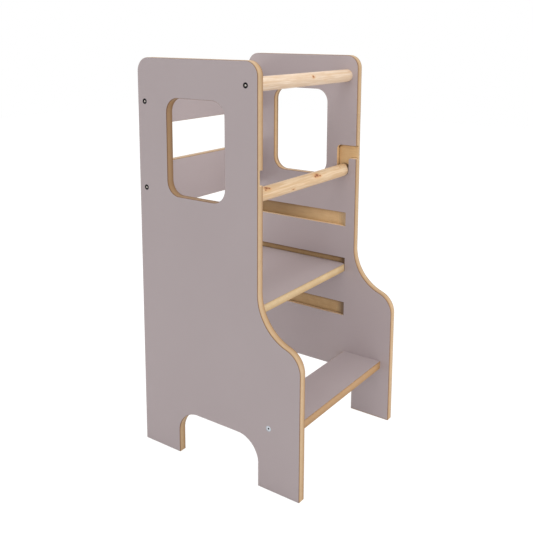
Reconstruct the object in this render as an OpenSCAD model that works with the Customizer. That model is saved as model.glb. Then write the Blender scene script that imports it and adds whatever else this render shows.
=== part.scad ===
// Toddler kitchen helper: a standing tower for a small child.
// Two shaped side panels carry two back rails, a fixed step and a grab bar.
// A platform hooks into grooves at three heights, and a safety bar drops into slots.
// X runs across the tower, Y from front to back and Z up, with the origin on the
// floor under the middle of the side panels.

/* [Overall] */
// Width over both side panels
width = 424; // [390:1:460]
// Depth of the side panels at the floor
depth = 431.5; // [420:0.5:460]
// Depth of the side panels above the step
upper_depth = 325.5; // [310:0.5:340]
// Height of the side panels
height = 900; // [870:1:960]
// Thickness of every board
board = 19; // [16:0.5:21]
// Rounding of the long board edges
edge_round = 1; // [0.5:0.5:4]

/* [Side panels] */
// Radius of the two top corners
top_corner_r = 30; // [15:1:40]
// Radius of the bulge where the panel turns toward the step
knee_r = 50.5; // [45:0.5:65]
// Radius of the hollow above the bulge
hollow_r = 108.5; // [95:0.5:120]
// Height at which the front edge starts to curve back
knee_z = 277; // [240:1:300]
// Height of the arch between the feet
arch_h = 106.5; // [80:0.5:115]
// Radius of the corners of the arch
arch_r = 54.5; // [20:0.5:60]
// Length of each rear foot along the floor
rear_foot = 105.5; // [80:0.5:130]
// Length of each front foot along the floor
front_foot = 104; // [80:1:115]
// Width of the window
window_w = 159; // [120:1:170]
// Height of the window
window_h = 213.5; // [150:0.5:220]
// Distance of the window below the top
window_drop = 84; // [75:1:105]
// Radius of the corners of the window
window_r = 32; // [15:1:45]

/* [Back rails] */
// Height of each rail
rail_h = 104.5; // [80:0.5:120]
// Distance of the rails from the back edges of the panels
rail_inset = 10; // [5:1:20]
// Distance of the middle of the upper rail below the top
upper_rail_drop = 95.5; // [85:0.5:120]
// Distance between the middles of the rails
rail_pitch = 192; // [160:1:200]

/* [Step] */
// Middle of the step above the floor
step_z = 140.5; // [135:0.5:160]
// Depth of the step
step_depth = 104; // [90:1:120]
// Distance of the step and of the grooves from the front edge
front_inset = 25; // [20:1:32]

/* [Platform] */
// Height at which the platform sits, counted from below
platform_level = 2; // [1:1:3]
// Floor of the lowest groove above the floor
groove_z = 245.5; // [225:0.5:255]
// Distance between the grooves
groove_pitch = 116.5; // [100:0.5:118]
// Height of a groove, with room to lift the platform
groove_h = 35; // [30:1:38]
// Depth of a groove in the panel
groove_depth = 9; // [6:0.5:11]
// Radius of the groove cutter, which leaves round ends inside
groover_r = 50; // [40:1:60]
// Length of the sill behind the platform
sill_length = 20; // [12:1:30]

/* [Bars] */
// Diameter of both bars
bar_d = 30; // [26:1:32]
// Distance of the grab bar from the front edge
grab_setback = 29.5; // [22:0.5:40]
// Distance of the grab bar below the top
grab_drop = 48.5; // [35:0.5:55]
// Distance of the safety bar below the top, at rest
safety_drop = 280; // [275:1:295]
// Distance of the drop of the slot from the front edge
slot_setback = 20; // [16:1:30]
// Width of the drop of the slot
slot_w = 32.5; // [32.5:0.5:36]
// Lower edge of the slot's mouth above the middle of the bar at rest
mouth_rise = 30.5; // [25:0.5:40]
// Height of the slot's mouth
mouth_h = 32; // [31:0.5:36]
// Depth of the slot in the panel
slot_depth = 11; // [8:0.5:12]
// Radius of the slot's upper back corner
slot_corner_r = 10; // [4:1:14]
// Radius of the corner over which the bar drops
lip_r = 5; // [2:0.5:8]

/* [Fasteners] */
// Diameter of the screw's shank
screw_d = 7; // [6:0.5:7.5]
// Diameter of the threaded end at its root
screw_core_d = 5; // [4:0.5:5.5]
// Length of the screw
screw_length = 50; // [40:1:60]
// Diameter of the screw's head
head_d = 10; // [9:0.5:11]
// Width of the hexagon socket across its flats
socket_width = 4; // [3:0.5:4.5]
// Diameter of a dowel
dowel_d = 8; // [6:1:10]
// Length of a dowel
dowel_length = 30; // [25:1:35]
// Depth to which a dowel sits in the panel
dowel_in_panel = 11; // [8:0.5:12]
// Distance between the two dowels in the end of a board
dowel_pitch = 64; // [50:1:68]

/* [Hidden] */
$fn = 96;

// Colours
laminate = "#ada2a2";
pine = "#e6c8a0";
beech = "#d2b48c";
zinc = "#aeb4b8";

// Clearances
// Overrun of every cut past the surface it starts from
overrun = 1;
// Overlap of the arcs of the front edge where they meet, and overrun of the hollow's rounding there
arc_overlap = 0.05;
arc_overrun = 2;
// Platform to the ends of its groove, and above it when lifted
end_play = 0.5;
// End of the platform or the safety bar to the bottom of its groove or slot
side_play = 1;
// Safety bar to the slot's floor
seat_gap = 0.3;
// Screw or dowel to its hole
hole_play = 0.1;
// Bottom of a blind hole past the end of its screw or dowel
hole_end_play = 1;
// Platform to the mouth of the groove as it slides out
entry_play = 1;

// Screw and dowel
head_sink = 0.2;
head_rim = 0.8;
socket_depth = 3;
tip_length = 3;
shank_length = 12;
dowel_chamfer = 1;
levels = 3;
left = 0;
right = 1;

// Distance between the inner faces of the panels
inner = width - 2*board;

// Places in a panel: u runs forward from the back edge, v up from the floor
rail_u = rail_inset + board/2;
upper_rail_z = height - upper_rail_drop;
lower_rail_z = upper_rail_z - rail_pitch;
step_u = depth - front_inset - step_depth/2;
grab_u = upper_depth - grab_setback;
grab_v = height - grab_drop;
arch_front = depth - front_foot;
window_back = (upper_depth - window_w)/2;
window_front = window_back + window_w;
window_top = height - window_drop;
window_z = window_top - window_h;

// The two arcs that join the upper and lower front edges meet at the line between their
// centres, which are a hair closer than their radii, so that the arcs cross there
knee_u = depth - knee_r;
hollow_u = upper_depth + hollow_r;
centre_distance = knee_r + hollow_r - arc_overlap;
turn = acos((hollow_u - knee_u)/centre_distance);
hollow_v = knee_z + centre_distance*sin(turn);

// Grooves, with their floors from below. Their ends are as far from the middle of the
// cutter as it reaches along the face.
groove_floors = [for (level = [0 : levels - 1]) groove_z + level*groove_pitch];
groove_front = upper_depth - front_inset;
cutter_reach = sqrt(groover_r^2 - (groover_r - groove_depth)^2);
cutter_front_u = groove_front - cutter_reach;
cutter_back_u = sill_length + cutter_reach;
entry_h = board + entry_play;

// Slot of the safety bar
drop_front = upper_depth - slot_setback;
drop_back = drop_front - slot_w;
safety_u = drop_front - slot_w/2;
safety_z = height - safety_drop;
mouth_z = safety_z + mouth_rise;
mouth_top = mouth_z + mouth_h;
slot_floor_v = safety_z - bar_d/2 - seat_gap;

// Half the length of the platform and of the safety bar
platform_half = inner/2 + groove_depth - side_play;
safety_half = inner/2 + slot_depth - side_play;

// Places children that are drawn in the left panel's own frame of u, v and w, where w
// runs outward from the inner face. The right side is its mirror image.
module in_panel(side) {
    mirror([side, 0, 0])
        translate([-inner/2, depth/2, 0])
            rotate([90, 0, -90])
                children();
}

// Section that takes the two sharp edges off a board, with its side at x = 0
module round_section() {
    for (face = [0, 1])
        translate([0, face*board]) mirror([0, face])
            difference() {
                translate([-overrun, -overrun]) square(edge_round + overrun);
                translate([edge_round, edge_round]) circle(edge_round);
            }
}

// Rounds the edges along a straight side from p to q, with the board on its left
module round_line(p, q) {
    run = q - p;
    translate(p)
        rotate([90, 0, atan2(run.y, run.x) + 90])
            linear_extrude(norm(run)) round_section();
}

// Rounds the edges along an arc: bulge is 1 where the board fills it and 0 where it surrounds it
module round_arc(centre, r, start, sweep, bulge) {
    translate(centre)
        rotate(start)
            rotate_extrude(angle = sweep)
                translate([r, 0]) mirror([bulge, 0]) round_section();
}

// Rectangle with rounded corners, with its lower left corner at the origin
module rounded_rect(size, r) {
    translate([r, 0]) square([size.x - 2*r, size.y]);
    translate([0, r]) square([size.x, size.y - 2*r]);
    for (x = [r, size.x - r], y = [r, size.y - r])
        translate([x, y]) circle(r);
}

module panel_outline() {
    difference() {
        union() {
            square([depth, knee_z]);
            square([upper_depth, height - top_corner_r]);
            translate([top_corner_r, 0]) square([upper_depth - 2*top_corner_r, height]);
            for (u = [top_corner_r, upper_depth - top_corner_r])
                translate([u, height - top_corner_r]) circle(top_corner_r);
            translate([knee_u, knee_z]) circle(knee_r);
            polygon([
                [upper_depth - overrun, knee_z - overrun],
                [knee_u, knee_z - overrun],
                [knee_u, knee_z],
                [hollow_u, hollow_v],
                [upper_depth - overrun, hollow_v]
            ]);
        }
        translate([hollow_u, hollow_v]) circle(hollow_r);
        arch_outline();
        translate([window_back, window_z]) rounded_rect([window_w, window_h], window_r);
    }
}

module arch_outline() {
    arch_w = arch_front - rear_foot;
    translate([rear_foot, -arch_r - overrun])
        rounded_rect([arch_w, arch_h + arch_r + overrun], arch_r);
}

module round_panel_edges() {
    // Feet and arch
    round_line([-overrun, 0], [rear_foot + overrun, 0]);
    round_line([rear_foot, -overrun], [rear_foot, arch_h - arch_r]);
    round_arc([rear_foot + arch_r, arch_h - arch_r], arch_r, 90, 90, 0);
    round_line([rear_foot + arch_r, arch_h], [arch_front - arch_r, arch_h]);
    round_arc([arch_front - arch_r, arch_h - arch_r], arch_r, 0, 90, 0);
    round_line([arch_front, arch_h - arch_r], [arch_front, -overrun]);
    round_line([arch_front - overrun, 0], [depth + overrun, 0]);
    // Front edge, top and back edge
    round_line([depth, -overrun], [depth, knee_z]);
    round_arc([knee_u, knee_z], knee_r, 0, turn, 1);
    round_arc([hollow_u, hollow_v], hollow_r, 180, turn + arc_overrun, 0);
    round_line([upper_depth, hollow_v], [upper_depth, height - top_corner_r]);
    round_arc([upper_depth - top_corner_r, height - top_corner_r], top_corner_r, 0, 90, 1);
    round_line([upper_depth - top_corner_r, height], [top_corner_r, height]);
    round_arc([top_corner_r, height - top_corner_r], top_corner_r, 90, 90, 1);
    round_line([0, height - top_corner_r], [0, -overrun]);
    // Window
    round_line([window_back, window_z + window_r], [window_back, window_top - window_r]);
    round_line([window_back + window_r, window_top], [window_front - window_r, window_top]);
    round_line([window_front, window_top - window_r], [window_front, window_z + window_r]);
    round_line([window_front - window_r, window_z], [window_back + window_r, window_z]);
    round_arc([window_back + window_r, window_z + window_r], window_r, 180, 90, 0);
    round_arc([window_back + window_r, window_top - window_r], window_r, 90, 90, 0);
    round_arc([window_front - window_r, window_top - window_r], window_r, 0, 90, 0);
    round_arc([window_front - window_r, window_z + window_r], window_r, 270, 90, 0);
}

// Groove for the platform. The cutter drops in between the sill and the front end, and
// a second pass above the sill runs out at the back edge to let the platform in.
module groove(floor_v) {
    groove_pass(floor_v, groove_h) {
        translate([cutter_back_u, -overrun])
            square([cutter_front_u - cutter_back_u, groove_depth + overrun]);
        for (u = [cutter_back_u, cutter_front_u])
            translate([u, groove_depth - groover_r]) circle(groover_r);
    }
    groove_pass(floor_v + groove_h - entry_h, entry_h)
        translate([-overrun, -overrun]) square([cutter_front_u + overrun, groove_depth + overrun]);
}

module groove_pass(v, h) {
    translate([0, v + h, 0]) rotate([90, 0, 0]) linear_extrude(h) children();
}

// Slot for the safety bar: in from the front edge, then down into a round seat
module slot_outline() {
    seat_v = slot_floor_v + slot_w/2;
    translate([safety_u, seat_v]) circle(slot_w/2);
    translate([drop_back, seat_v]) square([slot_w, mouth_top - slot_corner_r - seat_v]);
    translate([drop_back + slot_corner_r, mouth_top - slot_corner_r]) circle(slot_corner_r);
    translate([drop_back + slot_corner_r, mouth_z])
        square([upper_depth + overrun - drop_back - slot_corner_r, mouth_h]);
    difference() {
        translate([drop_front - overrun, mouth_z - lip_r]) square(lip_r + overrun);
        translate([drop_front + lip_r, mouth_z - lip_r]) circle(lip_r);
    }
}

module screw_hole(u, v) {
    translate([u, v, -overrun])
        cylinder(d = screw_d + 2*hole_play, h = board + 2*overrun);
    translate([u, v, board - head_sink - head_rim])
        cylinder(d = head_d + 2*hole_play, h = head_sink + head_rim + overrun);
    translate([u, v, board - head_sink - head_rim - (head_d - screw_d)/2])
        cylinder(d1 = screw_d + 2*hole_play, d2 = head_d + 2*hole_play, h = (head_d - screw_d)/2);
}

module dowel_holes(u, v, offset_uv) {
    for (way = [-1, 1])
        translate([u + way*offset_uv.x, v + way*offset_uv.y, -overrun])
            cylinder(d = dowel_d + 2*hole_play, h = dowel_in_panel + hole_end_play + overrun);
}

module side_panel(side) {
    color(laminate)
    in_panel(side)
        difference() {
            linear_extrude(board) panel_outline();
            round_panel_edges();
            for (floor_v = groove_floors) groove(floor_v);
            translate([0, 0, -overrun]) linear_extrude(slot_depth + overrun) slot_outline();
            screw_hole(rail_u, upper_rail_z);
            screw_hole(rail_u, lower_rail_z);
            screw_hole(step_u, step_z);
            screw_hole(grab_u, grab_v);
            dowel_holes(rail_u, upper_rail_z, [0, dowel_pitch/2]);
            dowel_holes(rail_u, lower_rail_z, [0, dowel_pitch/2]);
            dowel_holes(step_u, step_z, [dowel_pitch/2, 0]);
        }
}

// Holes in both ends of a piece between the panels
module end_holes(u, v, offset_uv, dowels) {
    for (side = [left, right])
        in_panel(side) {
            translate([u, v, board - head_sink - screw_length - hole_end_play])
                cylinder(d = screw_core_d + 2*hole_play, h = screw_length + hole_end_play);
            if (dowels)
                for (way = [-1, 1])
                    translate([u + way*offset_uv.x, v + way*offset_uv.y,
                               dowel_in_panel - dowel_length - hole_end_play])
                        cylinder(d = dowel_d + 2*hole_play, h = dowel_length + hole_end_play);
        }
}

// Board between the panels, with its long edges rounded
module cross_board(u, v, section) {
    translate([-inner/2, depth/2 - u - section.x/2, v - section.y/2])
        rotate([90, 0, 90])
            linear_extrude(inner) rounded_rect(section, edge_round);
}

module back_rail(v) {
    color(laminate)
    difference() {
        cross_board(rail_u, v, [board, rail_h]);
        end_holes(rail_u, v, [0, dowel_pitch/2], true);
    }
}

module step() {
    color(laminate)
    difference() {
        cross_board(step_u, step_z, [step_depth, board]);
        end_holes(step_u, step_z, [dowel_pitch/2, 0], true);
    }
}

module bar(u, v, half) {
    translate([-half, depth/2 - u, v]) rotate([0, 90, 0]) cylinder(d = bar_d, h = 2*half);
}

module grab_bar() {
    color(pine)
    difference() {
        bar(grab_u, grab_v, inner/2);
        end_holes(grab_u, grab_v, [0, 0], false);
    }
}

module safety_bar() {
    color(pine) bar(safety_u, safety_z, safety_half);
}

// Outline of the platform from above, with corners that follow the round ends of the grooves
module platform_outline() {
    front_y = depth/2 - groove_front + end_play;
    back_y = depth/2 - sill_length - end_play;
    difference() {
        translate([-platform_half, front_y]) square([2*platform_half, back_y - front_y]);
        for (side = [left, right])
            mirror([side, 0])
                for (end = [0, 1])
                    translate([platform_half, end == 0 ? front_y : back_y]) mirror([0, end])
                        platform_corner();
    }
}

// What the round end of a groove takes off a corner of the platform, with the corner at the origin
module platform_corner() {
    r = groover_r - side_play;
    centre = [-r, cutter_reach - end_play];
    difference() {
        translate([centre.x, -overrun]) square([r + overrun, centre.y + overrun]);
        translate(centre) circle(r);
    }
}

module platform() {
    front_y = depth/2 - groove_front + end_play;
    back_y = depth/2 - sill_length - end_play;
    reach = platform_half + overrun;
    color(laminate)
    translate([0, 0, groove_floors[platform_level - 1]])
        difference() {
            linear_extrude(board) platform_outline();
            round_line([-reach, front_y], [reach, front_y]);
            round_line([reach, back_y], [-reach, back_y]);
        }
}

// Connector screw with a countersunk head and a hexagon socket, driven in from outside
module screw(side, u, v) {
    cone_h = (head_d - screw_d)/2;
    color(zinc)
    in_panel(side)
        translate([u, v, board - head_sink])
            mirror([0, 0, 1])
                difference() {
                    union() {
                        cylinder(d = head_d, h = head_rim);
                        translate([0, 0, head_rim]) cylinder(d1 = head_d, d2 = screw_d, h = cone_h);
                        cylinder(d = screw_d, h = head_rim + shank_length);
                        cylinder(d = screw_core_d, h = screw_length - tip_length);
                        translate([0, 0, screw_length - tip_length])
                            cylinder(d1 = screw_core_d, d2 = screw_core_d/2, h = tip_length);
                    }
                    translate([0, 0, -overrun])
                        cylinder(d = socket_width/cos(30), h = socket_depth + overrun, $fn = 6);
                }
}

module dowel(side, u, v) {
    color(beech)
    in_panel(side)
        translate([u, v, dowel_in_panel - dowel_length]) {
            cylinder(d1 = dowel_d - 2*dowel_chamfer, d2 = dowel_d, h = dowel_chamfer);
            translate([0, 0, dowel_chamfer]) cylinder(d = dowel_d, h = dowel_length - 2*dowel_chamfer);
            translate([0, 0, dowel_length - dowel_chamfer])
                cylinder(d1 = dowel_d, d2 = dowel_d - 2*dowel_chamfer, h = dowel_chamfer);
        }
}

// Dowels of a rail: way is 1 for the upper one and -1 for the lower one
module rail_dowel(side, rail_z, way) {
    dowel(side, rail_u, rail_z + way*dowel_pitch/2);
}

// Dowels of the step: way is 1 for the front one and -1 for the back one
module step_dowel(side, way) {
    dowel(side, step_u + way*dowel_pitch/2, step_z);
}

side_panel(left);  // side_panel_left
side_panel(right);  // side_panel_right
back_rail(upper_rail_z);  // upper_back_rail
back_rail(lower_rail_z);  // lower_back_rail
step();
grab_bar();
platform();
safety_bar();
screw(left, rail_u, upper_rail_z);  // upper_rail_screw_left
screw(right, rail_u, upper_rail_z);  // upper_rail_screw_right
screw(left, rail_u, lower_rail_z);  // lower_rail_screw_left
screw(right, rail_u, lower_rail_z);  // lower_rail_screw_right
screw(left, step_u, step_z);  // step_screw_left
screw(right, step_u, step_z);  // step_screw_right
screw(left, grab_u, grab_v);  // grab_bar_screw_left
screw(right, grab_u, grab_v);  // grab_bar_screw_right
rail_dowel(left, upper_rail_z, 1);  // upper_rail_dowel_left_top
rail_dowel(left, upper_rail_z, -1);  // upper_rail_dowel_left_bottom
rail_dowel(right, upper_rail_z, 1);  // upper_rail_dowel_right_top
rail_dowel(right, upper_rail_z, -1);  // upper_rail_dowel_right_bottom
rail_dowel(left, lower_rail_z, 1);  // lower_rail_dowel_left_top
rail_dowel(left, lower_rail_z, -1);  // lower_rail_dowel_left_bottom
rail_dowel(right, lower_rail_z, 1);  // lower_rail_dowel_right_top
rail_dowel(right, lower_rail_z, -1);  // lower_rail_dowel_right_bottom
step_dowel(left, 1);  // step_dowel_left_front
step_dowel(left, -1);  // step_dowel_left_back
step_dowel(right, 1);  // step_dowel_right_front
step_dowel(right, -1);  // step_dowel_right_back
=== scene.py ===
"""Toddler kitchen helper: finishes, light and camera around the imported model.

All lengths are metres in the model's frame: X across the tower, Y from front to back, Z up.
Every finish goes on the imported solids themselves. The scene adds a floor and no piece.
"""
import math

import bpy
from mathutils import Matrix, Vector


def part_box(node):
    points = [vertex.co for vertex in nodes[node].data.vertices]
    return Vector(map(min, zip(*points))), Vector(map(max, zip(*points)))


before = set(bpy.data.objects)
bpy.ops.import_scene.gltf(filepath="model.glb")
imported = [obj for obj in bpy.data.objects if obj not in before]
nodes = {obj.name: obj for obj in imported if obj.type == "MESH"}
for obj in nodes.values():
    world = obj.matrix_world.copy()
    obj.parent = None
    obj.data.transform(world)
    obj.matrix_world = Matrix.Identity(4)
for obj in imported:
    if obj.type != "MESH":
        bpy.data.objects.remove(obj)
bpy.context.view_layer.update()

MILLIMETRE = 0.001
EASED_EDGE = 1 * MILLIMETRE
PANELS = ("side_panel_left", "side_panel_right")
RAILS = ("upper_back_rail", "lower_back_rail")
PANEL_LOW, PANEL_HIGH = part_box("side_panel_right")
# Screws, bars and dowels lie along X, so what shows round them depends on Y and Z alone
ONLY_YZ = Vector((0, 1, 1))

# Colours

DISPLAY_WHITE = 255
TOE_END = 0.04045
TOE_SLOPE = 12.92
CURVE_LIFT = 0.055
CURVE_POWER = 2.4


def linear(red, green, blue):
    """A colour written as 0 to 255 display values, as the shader wants it."""
    def channel(value):
        value /= DISPLAY_WHITE
        if value <= TOE_END:
            return value / TOE_SLOPE
        return ((value + CURVE_LIFT) / (1 + CURVE_LIFT)) ** CURVE_POWER
    return (channel(red), channel(green), channel(blue), 1)


WHITE = (1, 1, 1, 1)
LAMINATE = linear(174, 161, 162)
LAMINATE_PALE = linear(179, 167, 168)
# Varnished edges: of the panels and rails, the platform, the step, and the two windows. Each
# pale tone is a painted highlight across its edge. The windows' edges are shaded and lit copies
BARE = linear(172, 135, 94)
BARE_PALE = linear(200, 170, 132)
BARE_DARK = linear(150, 114, 74)
CREAM = linear(193, 163, 119)
CREAM_PALE = linear(218, 192, 148)
HONEY = linear(160, 123, 80)
# Shaded copy of the bare edge: painted shade on the left window's edge
HONEY_PALE = linear(179, 140, 97)
BARE_SHADED = linear(126, 95, 62)
TAN_BROWN = linear(160, 127, 91)
# Lit copy of the bare edge: painted light on the right window's edge
BARE_LIT = linear(186, 146, 100)
BARE_LIT_PALE = linear(214, 180, 138)
SEAM = linear(116, 82, 52)
# Cut wood inside the grooves and slots, in lit and shaded copies: the first pair is shaded, for
# the grooves at and under the platform, and the lit pair is for the top groove and the slot
ROUTED = linear(193, 162, 118)
ROUTED_DARK = linear(166, 130, 88)
ROUTED_LIT = linear(232, 198, 148)
ROUTED_LIT_DARK = linear(204, 166, 120)
# Painted shades: towards the back, on run-outs, in corners and hollows, and on the bars' slot ends
SHADED = linear(112, 80, 44)
DEEP_SHADE_BROWN = linear(78, 52, 26)
CORNER_SHADE_BROWN = linear(104, 74, 46)
# Painted light on the groove ledges that face up
LEDGE_LIT = linear(248, 222, 186)
# Pine bars and beech dowels
PINE = linear(206, 175, 138)
PINE_PALE = linear(232, 210, 180)
PINE_WHITE = linear(213, 188, 162)
PINE_WHITE_PALE = linear(236, 219, 200)
PINE_LATE = linear(196, 156, 110)
PINE_BLUSH = linear(210, 162, 108)
KNOT_RIM = linear(188, 122, 72)
KNOT_CORE = linear(112, 62, 34)
BEECH = linear(210, 178, 138)
BEECH_FLECK = linear(186, 146, 104)
# Screws
ZINC = linear(228, 234, 240)
ZINC_DULL = linear(186, 192, 198)
# Painted highlight in the sockets of the rail and grab-bar screws
SOCKET_HIGHLIGHT = linear(250, 246, 240)
ZINC_RIM = linear(186, 196, 206)
# Near black: rail and grab-bar heads, and painted shade in the step socket and round the heads
NEAR_BLACK = linear(34, 33, 36)
NEAR_BLACK_DULL = linear(18, 17, 20)

# Node trees

# Places of a mix node's colour sockets, whose names its other sockets share
MIX_A, MIX_B, MIX_RESULT = 6, 7, 2
OPENNESS_SAMPLES = 16


class Tree:
    """The node tree of a material or a world, with one short call for each kind of node."""

    def __init__(self, owner):
        owner.use_nodes = True
        self.tree = owner.node_tree
        self.tree.nodes.clear()

    def add(self, kind, inputs=None, **settings):
        """Adds a node with the settings. An input that is a socket is linked, any other is set."""
        node = self.tree.nodes.new(kind)
        for name, value in settings.items():
            setattr(node, name, value)
        for name, value in (inputs or {}).items():
            if isinstance(value, bpy.types.NodeSocket):
                self.tree.links.new(value, node.inputs[name])
            else:
                node.inputs[name].default_value = value
        return node

    def math(self, operation, a, b=0.0):
        return self.add("ShaderNodeMath", {0: a, 1: b}, operation=operation).outputs[0]


class Shader(Tree):
    """The node tree of a new material for the model. Its masks are numbers from 0 to 1."""

    def __init__(self, name):
        self.material = bpy.data.materials.new(name)
        super().__init__(self.material)
        self.place = self.add("ShaderNodeTexCoord").outputs["Object"]

    def vector(self, operation, a, b):
        node = self.add("ShaderNodeVectorMath", {0: a, 1: b}, operation=operation)
        return node.outputs["Value" if operation == "DISTANCE" else "Vector"]

    def axis(self, vector, name):
        return self.add("ShaderNodeSeparateXYZ", {0: vector}).outputs[name]

    def size_along(self, vector, name):
        """How much of the vector lies along the axis, either way."""
        return self.math("ABSOLUTE", self.axis(vector, name))

    def noise(self, scale, stretch=(1, 1, 1), detail=2.0, roughness=0.5, distortion=0.0):
        """Noise with about scale cells to the metre, drawn out along an axis with a low stretch."""
        vector = self.vector("MULTIPLY", self.place, stretch)
        inputs = {"Vector": vector, "Scale": scale, "Detail": detail, "Roughness": roughness,
                  "Distortion": distortion}
        return self.add("ShaderNodeTexNoise", inputs).outputs["Fac"]

    def ramp(self, value, low, high, to_low=0.0, to_high=1.0):
        """Goes smoothly from to_low at low to to_high at high."""
        inputs = {"Value": value, "From Min": low, "From Max": high,
                  "To Min": to_low, "To Max": to_high}
        node = self.add("ShaderNodeMapRange", inputs, interpolation_type="SMOOTHSTEP")
        return node.outputs["Result"]

    def fade(self, value, low, high, full=1.0):
        """Goes smoothly from full at low to nothing at high."""
        return self.ramp(value, low, high, full, 0)

    def patches(self, scale, span=(0.3, 0.7), **kind):
        """A mask of noise: nothing below the span, full above it, and smooth between."""
        return self.ramp(self.noise(scale, **kind), *span)

    def openness(self, reach, normal=None):
        """1 in the open, and less where walls stand within the reach."""
        inputs = {"Distance": reach}
        if normal is not None:
            inputs["Normal"] = normal
        node = self.add("ShaderNodeAmbientOcclusion", inputs, samples=OPENNESS_SAMPLES)
        return node.outputs["AO"]

    def tint(self, colour, tint, mask, share=None):
        """Mixes the tint into the colour where the mask is, up to the share if there is one."""
        amount = mask if share is None else self.math("MULTIPLY", mask, share)
        inputs = {"Factor": amount, MIX_A: colour, MIX_B: tint}
        return self.add("ShaderNodeMix", inputs, data_type="RGBA").outputs[MIX_RESULT]

    def bump(self, height, distance, strength=0.5):
        inputs = {"Height": height, "Distance": distance, "Strength": strength}
        return self.add("ShaderNodeBump", inputs).outputs["Normal"]

    def finish(self, **inputs):
        """Ends the tree with the surface shader and gives the material."""
        inputs = {name.replace("_", " ").title().replace("Ior", "IOR"): value
                  for name, value in inputs.items()}
        surface = self.add("ShaderNodeBsdfPrincipled", inputs)
        self.add("ShaderNodeOutputMaterial", {"Surface": surface.outputs["BSDF"]})
        return self.material


# Laminate

# From a screw's axis to the edge of its ring. The screws on the other panel mirror these
SCREW_RIM = (5.7 * MILLIMETRE, 6.7 * MILLIMETRE)
# Dark rings are painted shade in the countersinks; the step screw's ring is pale zinc grey
SCREW_RINGS = {"upper_rail_screw_left": NEAR_BLACK, "lower_rail_screw_left": NEAR_BLACK,
               "grab_bar_screw_left": NEAR_BLACK, "step_screw_left": ZINC_RIM}
# Height at which the brown band along the bottom of a foot's inner face ends
FOOT_BAND = (1.6 * MILLIMETRE, 2.8 * MILLIMETRE)


def laminate():
    """Matt melamine face: an even mauve grey with a fine pearl grain.

    A ring of painted shade shows round each dark screw head, and a pale zinc-grey ring round the
    step screw. A brown band runs along the bottom of the feet's inner face.
    """
    shader = Shader("laminate")
    cloud = shader.patches(scale=5, detail=3)
    speck = shader.patches(scale=1400, detail=3, span=(0.35, 0.65))
    colour = shader.tint(LAMINATE, LAMINATE_PALE, cloud, share=0.35)
    colour = shader.tint(colour, LAMINATE_PALE, speck, share=0.18)
    place_yz = shader.vector("MULTIPLY", shader.place, ONLY_YZ)
    # Painted shade rings the dark heads, and a pale zinc-grey ring the step screw
    for screw, ring in SCREW_RINGS.items():
        low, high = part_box(screw)
        off_axis = shader.vector("DISTANCE", place_yz, (low + high) / 2 * ONLY_YZ)
        colour = shader.tint(colour, ring, shader.fade(off_axis, *SCREW_RIM))
    # A brown band along the bottom of the feet's inner face
    off_middle = shader.size_along(shader.place, "X")
    inside = shader.math("LESS_THAN", off_middle, PANEL_LOW.x + EASED_EDGE)
    sole = shader.fade(shader.axis(shader.place, "Z"), *FOOT_BAND)
    colour = shader.tint(colour, TAN_BROWN, shader.math("MULTIPLY", sole, inside))
    grain = shader.noise(scale=1100, detail=3, roughness=0.6)
    rough = shader.ramp(cloud, 0, 1, to_low=0.46, to_high=0.54)
    return shader.finish(base_color=colour, roughness=rough, specular_ior_level=0.4,
                         normal=shader.bump(grain, 0.06 * MILLIMETRE))


# Bare edges. Spans are shares of the way from one face of the board to the other

LAYER_STRETCH = 0.12
HIGHLIGHT_RISE = (0.06, 0.6)
HIGHLIGHT_FALL = (0.72, 0.98)
DARK_LAYER_RISE = (0.58, 0.68)
DARK_LAYER_FALL = (0.8, 0.9)
# Depth below a face at which its seam ends
SEAM_DEPTH = (0.8 * MILLIMETRE, 2.4 * MILLIMETRE)


def bare_edge(name, axis, first, last, plain, pale, seam_strength, dark_layer=0.0):
    """Varnished bare edge of a board whose faces lie at first and last along the axis.

    It is palest near two thirds of the way, a painted highlight as if the edge were rounded. A
    dark seam runs along both faces, the laminate's joint line widened by painted shade of the
    eased arris. A dark layer can show across the end of the palest part.
    """
    shader = Shader(name)
    across = shader.size_along(shader.place, axis)
    share = shader.math("DIVIDE", shader.math("SUBTRACT", across, first), last - first)
    # Painted highlight: the middle of the edge is lit as a rounded edge would be
    core = shader.math("MULTIPLY", shader.ramp(share, *HIGHLIGHT_RISE),
                       shader.ramp(share, *HIGHLIGHT_FALL, to_low=1, to_high=0.35))
    squeeze = [LAYER_STRETCH] * 3
    squeeze["XYZ".index(axis)] = 1
    layers = shader.patches(scale=1100, stretch=squeeze, detail=3)
    fibres = shader.patches(scale=700, detail=4, roughness=0.65, span=(0.35, 0.75))
    tone = shader.patches(scale=30, detail=3)
    colour = shader.tint(plain, pale, core)
    colour = shader.tint(colour, BARE_DARK, layers, share=0.22)
    colour = shader.tint(colour, BARE_DARK, fibres, share=0.16)
    colour = shader.tint(colour, BARE_DARK, tone, share=0.16)
    layer = shader.math("MULTIPLY", shader.ramp(share, *DARK_LAYER_RISE, to_high=dark_layer),
                        shader.fade(share, *DARK_LAYER_FALL))
    colour = shader.tint(colour, SEAM, layer)
    # Dark seams: the laminate's joint line, widened by painted shade of the eased arris
    seam_start, seam_end = (depth / (last - first) for depth in SEAM_DEPTH)
    seams = shader.math("MAXIMUM", shader.fade(share, seam_start, seam_end),
                        shader.ramp(share, 1 - seam_end, 1 - seam_start))
    colour = shader.tint(colour, SEAM, seams, share=seam_strength)
    return shader.finish(base_color=colour, roughness=0.5, specular_ior_level=0.35,
                         coat_weight=0.1, coat_roughness=0.35,
                         normal=shader.bump(fibres, 0.08 * MILLIMETRE))


# Cut wood. An OPEN span goes from the openness with the full painted shade to the one with
# none. A TURN span goes from no effect to the full one, by how much a face is turned to an axis

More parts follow.
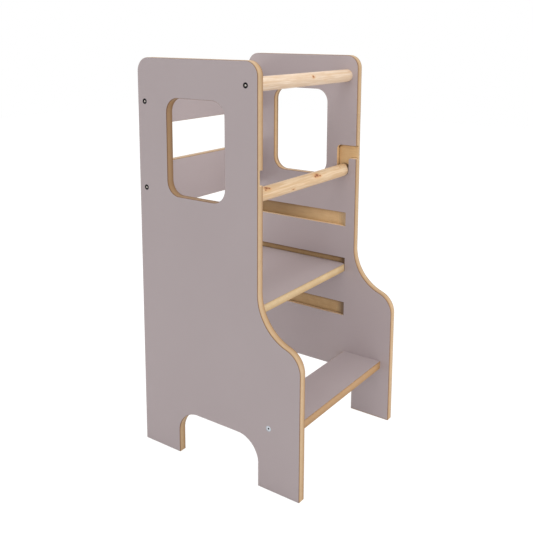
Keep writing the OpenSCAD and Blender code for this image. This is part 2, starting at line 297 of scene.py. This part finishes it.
BOTTOM_TURN = (0.4, 0.6)
RUN_OUT_TURN = (0, 0.5)
ROUND_TURN = (0.02, 0.2)
LEDGE_TURN = (0.5, 0.9)
CORNER_OPEN = (0.5, 0.84)
CEILING_OPEN = (0.32, 0.7)
ROUND_OPEN = (0.75, 0.98)
POCKET_OPEN = (0.3, 0.52)
UPWARD_TILT = Vector((0, 0, 1))
SHADED_SPAN = (-0.05, 0.125)
FRONT_SHADE = 0.08
LEDGE_LIT_SHARE = 0.75
# The lower and the middle groove, the top groove, and the slot of the safety bar
GROOVE_REACH = {"corner_reach": 9 * MILLIMETRE, "ceiling_reach": 20 * MILLIMETRE}
LOW_GROOVES = {**GROOVE_REACH, "corner_shade": 0.45, "ceiling_shade": 0.9}
HIGH_GROOVE = {**GROOVE_REACH, "corner_shade": 0.12, "ceiling_shade": 0.5, "back_shade": 0.7}
SLOT = {"corner_reach": 5 * MILLIMETRE, "ceiling_reach": 8 * MILLIMETRE,
        "corner_shade": 0.85, "ceiling_shade": 0.8, "slot_corner_shade": 0.95}


def routed(name, plain, dark, corner_reach, ceiling_reach, corner_shade, ceiling_shade,
           back_shade=0.0, slot_corner_shade=0.0):
    """Cut wood of the grooves and slots, with cutter streaks and painted shade on the run-outs.

    Painted shade sits in the corners and deeper under the ceiling, each within its reach, and
    darkens the wood towards the back. The ledges that face up get a painted light, and painted
    shade darkens a slot's round corners and its bottom where walls and the bar close it in.
    The bottom of a cut is its face square to X.
    """
    shader = Shader(name)
    streaks = shader.patches(scale=700, stretch=(1, 0.04, 1), detail=3)
    fibres = shader.patches(scale=520, detail=4, roughness=0.7, span=(0.35, 0.7))
    blotches = shader.patches(scale=60, span=(0.35, 0.7))
    colour = shader.tint(plain, dark, streaks, share=0.4)
    colour = shader.tint(colour, dark, fibres, share=0.28)
    colour = shader.tint(colour, dark, blotches, share=0.25)
    backward = shader.axis(shader.place, "Y")
    # Painted shade: the wood darkens towards the back
    shade = shader.ramp(backward, *SHADED_SPAN, FRONT_SHADE * back_shade, back_shade)
    colour = shader.tint(colour, SHADED, shade)

    facing = shader.add("ShaderNodeNewGeometry").outputs["True Normal"]
    aslant = shader.size_along(facing, "Y")
    rise = shader.axis(facing, "Z")
    bottom = shader.ramp(shader.size_along(facing, "X"), *BOTTOM_TURN)
    # Painted shade on the run-outs, which turn away from the light
    run_out_shade = shader.ramp(aslant, *RUN_OUT_TURN, to_high=ceiling_shade)
    colour = shader.tint(colour, DEEP_SHADE_BROWN, shader.math("MULTIPLY", run_out_shade, bottom))
    # Painted light on the ledges that face up
    ledge = shader.ramp(rise, *LEDGE_TURN, to_high=LEDGE_LIT_SHARE)
    colour = shader.tint(colour, LEDGE_LIT, ledge)

    near = shader.openness(corner_reach)
    # Painted shade in a slot's round corners and on its bottom where walls and the bar close it in
    rounded = shader.math("MULTIPLY", aslant, shader.math("ABSOLUTE", rise))
    round_corner_shade = shader.math("MULTIPLY", shader.ramp(rounded, *ROUND_TURN, to_high=slot_corner_shade),
                       shader.fade(near, *ROUND_OPEN))
    pocket = shader.math("MULTIPLY", shader.fade(near, *POCKET_OPEN, slot_corner_shade), bottom)
    colour = shader.tint(colour, DEEP_SHADE_BROWN, shader.math("MAXIMUM", round_corner_shade, pocket))

    above = shader.openness(ceiling_reach, shader.vector("ADD", facing, UPWARD_TILT))
    # Painted shade in the corners and under the ceiling
    corner = shader.fade(near, *CORNER_OPEN, corner_shade)
    ceiling = shader.fade(above, *CEILING_OPEN, ceiling_shade)
    hollow_shade = shader.math("MULTIPLY", shader.math("MAXIMUM", corner, ceiling), bottom)
    colour = shader.tint(colour, CORNER_SHADE_BROWN, hollow_shade)
    height = shader.math("ADD", streaks, shader.math("MULTIPLY", fibres, 0.5))
    return shader.finish(base_color=colour, roughness=0.62, specular_ior_level=0.3,
                         normal=shader.bump(height, 0.1 * MILLIMETRE, strength=0.6))


# Pine bars

# Knots of each bar: place along X, turn about the bar up from the front, radius, stretch along X
KNOTS = {
    "safety_bar": ((0.0545, 41, 0.0044, 1.6), (0.0455, 34, 0.0026, 1.5),
                   (0.0650, 30, 0.0018, 2.2), (-0.141, 62, 0.0042, 1.3),
                   (-0.1335, 50, 0.0024, 1.4), (-0.1475, 44, 0.0016, 1.8),
                   (0.164, 56, 0.0014, 1.1), (-0.048, -20, 0.0012, 4.0),
                   (0.120, 190, 0.0028, 1.5), (-0.095, 250, 0.0020, 1.3)),
    "grab_bar": ((0.0187, 25, 0.0028, 1.3), (-0.120, 200, 0.0030, 1.6),
                 (0.090, 140, 0.0018, 1.4)),
}
# Middle of the growth rings, from the middle of each bar
PITH = {"safety_bar": (0, 0.030, -0.052), "grab_bar": (0, 0.042, -0.044)}
RING_SPACING = 2.8 * MILLIMETRE
RING_WOBBLE = 9 * MILLIMETRE
# Round a knot, in radii of the knot
RAGGEDNESS = 1.8
RING_SWELL = 2.6
SWELL_SPAN = (0.4, 3.6)
HALO_SPAN = (1.1, 3.0)
RIM_SPAN = (0.7, 1.5)
CORE_SPAN = (0.35, 1.05)
# Late wood, in shares of a ring
LATE_RISE = (0.3, 0.85)
LATE_FALL = (0.88, 1.0)
# Painted shade on the bar's ends inside the slots
GAP_REACH = 12 * MILLIMETRE
GAP_OPEN = (0.5, 0.95)
GAP_SHADE = 0.9


def pine(bar, plain, white):
    """Sanded pine rod: growth rings that flow round the knots, with pale and orange streaks.

    Painted shade darkens the ends that sit in the slots.
    """
    shader = Shader("pine_" + bar)
    low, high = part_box(bar)
    middle = (low + high) / 2
    bar_radius = (high.z - low.z) / 2
    place_yz = shader.vector("MULTIPLY", shader.place, ONLY_YZ)
    rings = shader.vector("DISTANCE", place_yz, (middle + Vector(PITH[bar])) * ONLY_YZ)
    wobble = shader.noise(scale=30, stretch=(0.3, 1, 1), detail=3)
    rings = shader.math("ADD", rings, shader.math("MULTIPLY", wobble, RING_WOBBLE))
    ragged = shader.noise(scale=460, detail=4, roughness=0.7, distortion=0.6)
    ragged = shader.math("MULTIPLY", shader.math("SUBTRACT", ragged, 0.5), RAGGEDNESS)
    halo = rim = core = 0.0
    for along, turn, radius, stretch in KNOTS[bar]:
        up = math.radians(turn)
        centre = middle + bar_radius * Vector((0, -math.cos(up), math.sin(up)))
        centre.x = along
        squash = Vector((1 / stretch, 1, 1))
        squashed = shader.vector("MULTIPLY", shader.place, squash)
        off_knot = shader.vector("DISTANCE", squashed, centre * squash)
        radii = shader.math("ADD", shader.math("DIVIDE", off_knot, radius), ragged)
        rings = shader.math("ADD", rings, shader.fade(radii, *SWELL_SPAN, RING_SWELL * radius))
        halo = shader.math("MAXIMUM", halo, shader.fade(radii, *HALO_SPAN))
        rim = shader.math("MAXIMUM", rim, shader.fade(radii, *RIM_SPAN))
        core = shader.math("MAXIMUM", core, shader.fade(radii, *CORE_SPAN))
    phase = shader.math("FRACT", shader.math("DIVIDE", rings, RING_SPACING))
    late = shader.math("MULTIPLY", shader.ramp(phase, *LATE_RISE), shader.fade(phase, *LATE_FALL))
    fibre = shader.patches(scale=460, stretch=(0.05, 1, 1), detail=4, roughness=0.6,
                           span=(0.4, 0.7))
    pale = shader.patches(scale=190, stretch=(0.07, 1, 1), detail=3, span=(0.42, 0.62))
    blush = shader.patches(scale=70, stretch=(0.16, 1, 1), detail=3, span=(0.56, 0.74))
    colour = shader.tint(plain, white, pale, share=0.52)
    colour = shader.tint(colour, PINE_BLUSH, blush, share=0.45)
    colour = shader.tint(colour, PINE_LATE, late, share=0.28)
    colour = shader.tint(colour, PINE_LATE, fibre, share=0.2)
    colour = shader.tint(colour, PINE_BLUSH, halo, share=0.5)
    colour = shader.tint(colour, KNOT_RIM, rim, share=0.75)
    colour = shader.tint(colour, KNOT_CORE, core, share=0.85)
    # Painted shade on the ends in the slots, where walls close round them
    in_slot = shader.math("GREATER_THAN", shader.size_along(shader.place, "X"), PANEL_LOW.x)
    slot_end_shade = shader.fade(shader.openness(GAP_REACH), *GAP_OPEN, GAP_SHADE)
    colour = shader.tint(colour, DEEP_SHADE_BROWN, shader.math("MULTIPLY", slot_end_shade, in_slot))
    height = shader.math("ADD", fibre, shader.math("MULTIPLY", late, 0.6))
    return shader.finish(base_color=colour, roughness=0.52, specular_ior_level=0.35,
                         normal=shader.bump(height, 0.05 * MILLIMETRE))


# Dowels and screws

def beech():
    """Turned beech dowel with short flecks along it."""
    shader = Shader("beech")
    fleck = shader.patches(scale=1500, stretch=(0.1, 1, 1), span=(0.55, 0.7))
    colour = shader.tint(BEECH, BEECH_FLECK, fleck, share=0.6)
    return shader.finish(base_color=colour, roughness=0.6,
                         normal=shader.bump(fleck, 0.05 * MILLIMETRE))


def metal(name, colour, dull, roughness):
    """Plated metal with a slight cloudiness and the marks of the turning tool."""
    shader = Shader(name)
    cloud = shader.patches(scale=700, detail=3)
    shade = shader.tint(colour, dull, cloud, share=0.3)
    marks = shader.noise(scale=3000)
    return shader.finish(base_color=shade, metallic=1.0, roughness=roughness,
                         normal=shader.bump(marks, 0.03 * MILLIMETRE, strength=0.4))


# Which material goes on which faces

# Shares of a face's normal along an axis: all of it, and enough for a slant
SQUARE_ON = 0.9999
SLANTED = 0.1
# A point this near to a plane lies in it
PLANE_GAP = 0.05 * MILLIMETRE
CUT_PAST_BAR = 2 * MILLIMETRE
CUT_BELOW_BAR = 20 * MILLIMETRE
# Strengths of the seams, and of the dark layer in the right window's edge
PANEL_SEAM = 0.9
BOARD_SEAM = 0.2
WINDOW_LAYER = 0.75
SOCKET_RADIUS = 2.45 * MILLIMETRE
SOCKET_DEPTH = 3.2 * MILLIMETRE


def give(node, materials, choose):
    """Puts the materials in the node's slots and picks each face's by choose(points, normal)."""
    mesh = nodes[node].data
    mesh.materials.clear()
    for material in materials:
        mesh.materials.append(material)
    for face in mesh.polygons:
        points = [mesh.vertices[index].co for index in face.vertices]
        face.material_index = choose(points, face.normal)


def middle_of(points):
    return sum(points, Vector()) / len(points)


def dress_panels(face_material):
    """Laminate on both broad faces, bare edges all round, and cut wood in the grooves and slot.

    Walls of a cut start right at the inner face, and those of the outline past its eased edge.
    """
    low, high = PANEL_LOW, PANEL_HIGH
    deepest_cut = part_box("safety_bar")[1].x + CUT_PAST_BAR
    window_low = Vector((0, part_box("grab_bar")[1].y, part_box("platform")[1].z))
    window_high = Vector((0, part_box("lower_back_rail")[0].y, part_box("grab_bar")[1].z))
    past_eased = low.x + EASED_EDGE + PLANE_GAP
    high_from = (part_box("platform")[1].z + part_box("lower_back_rail")[0].z) / 2
    slot_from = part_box("safety_bar")[0].z - CUT_BELOW_BAR
    faces = ("X", low.x, high.x)
    materials = (
        face_material,
        bare_edge("panel_edge", *faces, BARE, BARE_PALE, PANEL_SEAM),
        # Painted shade on the left window's edge and painted light on the right one's
        bare_edge("window_edge_shaded", *faces, BARE_SHADED, TAN_BROWN, PANEL_SEAM),
        bare_edge("window_edge_lit", *faces, BARE_LIT, BARE_LIT_PALE, PANEL_SEAM, WINDOW_LAYER),
        # Shaded cut wood at and under the platform, lit cut wood in the top groove and the slot
        routed("routed_low", ROUTED, ROUTED_DARK, **LOW_GROOVES),
        routed("routed_high", ROUTED_LIT, ROUTED_LIT_DARK, **HIGH_GROOVE),
        routed("routed_slot", ROUTED_LIT, ROUTED_LIT_DARK, **SLOT),
    )
    laminated, outline, shaded_window, lit_window, low_cut, high_cut, slot = range(len(materials))

    def cut_at(height):
        if height < high_from:
            return low_cut
        return high_cut if height < slot_from else slot

    def choose(points, normal):
        nearest = min(abs(point.x) for point in points)
        farthest = max(abs(point.x) for point in points)
        if farthest < low.x + PLANE_GAP or nearest > high.x - PLANE_GAP:
            return laminated
        middle = middle_of(points)
        if past_eased < farthest < deepest_cut:
            if abs(normal.x) > SLANTED or nearest < low.x + PLANE_GAP:
                return cut_at(middle.z)
        if all(window_low[i] < middle[i] < window_high[i] for i in (1, 2)):
            return shaded_window if middle.x < 0 else lit_window
        return outline

    for panel in PANELS:
        give(panel, materials, choose)


def dress_board(node, axis, face_material, plain, pale):
    """Laminate on the two faces square to the axis, and bare edges on the rest."""
    index = "XYZ".index(axis)
    low, high = (corner[index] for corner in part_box(node))
    edge = bare_edge(node + "_edge", axis, low, high, plain, pale, BOARD_SEAM)

    def choose(points, normal):
        flat = all(point[index] < low + PLANE_GAP or point[index] > high - PLANE_GAP
                   for point in points)
        return 0 if flat and abs(normal[index]) > SQUARE_ON else 1

    give(node, (face_material, edge), choose)


def dress_screw(node, head, socket):
    """One finish on the head and shank, another in the socket."""
    low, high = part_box(node)
    centre = (low + high) / 2
    outer = max(abs(low.x), abs(high.x))

    def choose(points, normal):
        middle = middle_of(points)
        off_axis = math.hypot(middle.y - centre.y, middle.z - centre.z)
        sunk = outer - SOCKET_DEPTH < abs(middle.x) < outer - PLANE_GAP
        return 1 if sunk and off_axis < SOCKET_RADIUS else 0

    give(node, (head, socket), choose)


def only(points, normal):
    """Picks the single material of a node that has one finish all over."""
    return 0


def dress_nodes():
    face = laminate()
    dress_panels(face)
    for rail in RAILS:
        dress_board(rail, "Y", face, BARE, BARE_PALE)
    dress_board("platform", "Z", face, CREAM, CREAM_PALE)
    dress_board("step", "Z", face, HONEY, HONEY_PALE)
    give("safety_bar", (pine("safety_bar", PINE, PINE_PALE),), only)
    give("grab_bar", (pine("grab_bar", PINE_WHITE, PINE_WHITE_PALE),), only)
    bright = metal("zinc", ZINC, ZINC_DULL, roughness=0.3)
    dark = metal("near_black", NEAR_BLACK, NEAR_BLACK_DULL, roughness=0.5)
    shiny = metal("socket_highlight", SOCKET_HIGHLIGHT, ZINC, roughness=0.55)
    peg = beech()
    for name in nodes:
        if "_screw_" in name:
            # Near-black heads with a painted highlight in the socket; the step screw's socket is
            # painted shade
            head, socket = (bright, dark) if name.startswith("step") else (dark, shiny)
            dress_screw(name, head, socket)
        if "_dowel_" in name:
            give(name, (peg,), only)


# Floor, light and camera

FLOOR_SIZE = 12
FLOOR_DROP = 0.3 * MILLIMETRE
FLOOR_GREY = (0.8, 0.8, 0.8, 1)
FLOOR_SHADE = (0.16, 0.16, 0.16, 1)
FLOOR_GLOW = 0.93
WORLD_LIGHT = 0.79

# Softboxes: name, place, size and power in watts. Each faces the middle of the tower
SOFTBOXES = (
    ("key", (-2.9, -0.95, 1.5), 0.5, 1.6),
    ("left_front", (-2.2, -2.2, 1.2), 1.8, 6.3),
    ("front", (0.05, -1.6, 0.8), 0.8, 2.6),
    ("right_front", (1.1, -1.6, 0.25), 0.6, 2),
    ("low_right", (0.5, -0.9, 0.06), 0.4, 1.2),
    ("low_inner", (0, -0.9, 0.15), 0.3, 0.8),
    ("top_front", (-0.1, -0.6, 2.2), 0.5, 6),
    ("back", (-0.4, 2.6, 2.2), 1.2, 14),
    ("low_back", (-0.1, 1.4, 0.25), 0.5, 7.5),
    ("above_left", (-0.3, -0.1, 1.6), 0.4, 1.4),
)
TOWER_MIDDLE = Vector((0, 0, 0.45))

# Lens and sensor are in millimetres. The shift keeps verticals nearly upright
CAMERA_PLACE = Vector((-1.3747, -0.9598, 0.9591))
CAMERA_AZIMUTH = math.radians(54.54)
CAMERA_DROP = math.radians(9.78)
CAMERA_ROLL = math.radians(0.17)
LENS = 50
SENSOR = 36
SHIFT_DOWN = 0.2045


def place_in_scene(name, data):
    """A new object with the data, linked into the scene."""
    made = bpy.data.objects.new(name, data)
    bpy.context.scene.collection.objects.link(made)
    return made


def floor_material():
    """White floor. The camera sees it glow, with enough shading left to ground the feet."""
    material = bpy.data.materials.new("floor_white")
    tree = Tree(material)
    to_camera = tree.add("ShaderNodeLightPath").outputs["Is Camera Ray"]
    plain = tree.add("ShaderNodeBsdfDiffuse", {"Color": FLOOR_GREY})
    faint = tree.add("ShaderNodeBsdfDiffuse", {"Color": FLOOR_SHADE})
    glow = tree.add("ShaderNodeEmission", {"Color": WHITE, "Strength": FLOOR_GLOW})
    seen = tree.add("ShaderNodeAddShader", {0: faint.outputs[0], 1: glow.outputs[0]})
    both = tree.add("ShaderNodeMixShader",
                    {"Fac": to_camera, 1: plain.outputs[0], 2: seen.outputs[0]})
    tree.add("ShaderNodeOutputMaterial", {"Surface": both.outputs[0]})
    return material


def make_floor():
    half = FLOOR_SIZE / 2
    corners = [(-half, -half, 0), (half, -half, 0), (half, half, 0), (-half, half, 0)]
    mesh = bpy.data.meshes.new("floor")
    mesh.from_pydata(corners, [], [(0, 1, 2, 3)])
    mesh.materials.append(floor_material())
    floor = place_in_scene("floor", mesh)
    floor.location.z = -FLOOR_DROP


def make_world():
    """Even light from all round, which the camera and reflections see as plain white."""
    world = bpy.data.worlds.new("studio")
    tree = Tree(world)
    path = tree.add("ShaderNodeLightPath").outputs
    light = tree.add("ShaderNodeBackground", {"Color": WHITE, "Strength": WORLD_LIGHT})
    white = tree.add("ShaderNodeBackground", {"Color": WHITE})
    seen = tree.math("MAXIMUM", path["Is Camera Ray"], path["Is Glossy Ray"])
    mixed = tree.add("ShaderNodeMixShader",
                     {"Fac": seen, 1: light.outputs[0], 2: white.outputs[0]})
    tree.add("ShaderNodeOutputWorld", {"Surface": mixed.outputs[0]})
    bpy.context.scene.world = world


def make_lamps():
    for name, place, size, power in SOFTBOXES:
        lamp = bpy.data.lights.new(name, "AREA")
        lamp.size = size
        lamp.energy = power
        holder = place_in_scene(name, lamp)
        holder.location = place
        holder.visible_camera = False
        aim = TOWER_MIDDLE - Vector(place)
        holder.rotation_euler = aim.to_track_quat("-Z", "Y").to_euler()


def make_camera():
    data = bpy.data.cameras.new("camera")
    data.lens = LENS
    data.sensor_width = SENSOR
    data.shift_y = -SHIFT_DOWN
    camera = place_in_scene("camera", data)
    turn = (Matrix.Rotation(-CAMERA_AZIMUTH, 4, "Z")
            @ Matrix.Rotation(math.pi / 2 - CAMERA_DROP, 4, "X")
            @ Matrix.Rotation(CAMERA_ROLL, 4, "Z"))
    camera.matrix_world = Matrix.Translation(CAMERA_PLACE) @ turn
    bpy.context.scene.camera = camera


make_camera()
dress_nodes()
make_floor()
make_world()
make_lamps()
bpy.context.scene.view_settings.view_transform = "Standard"
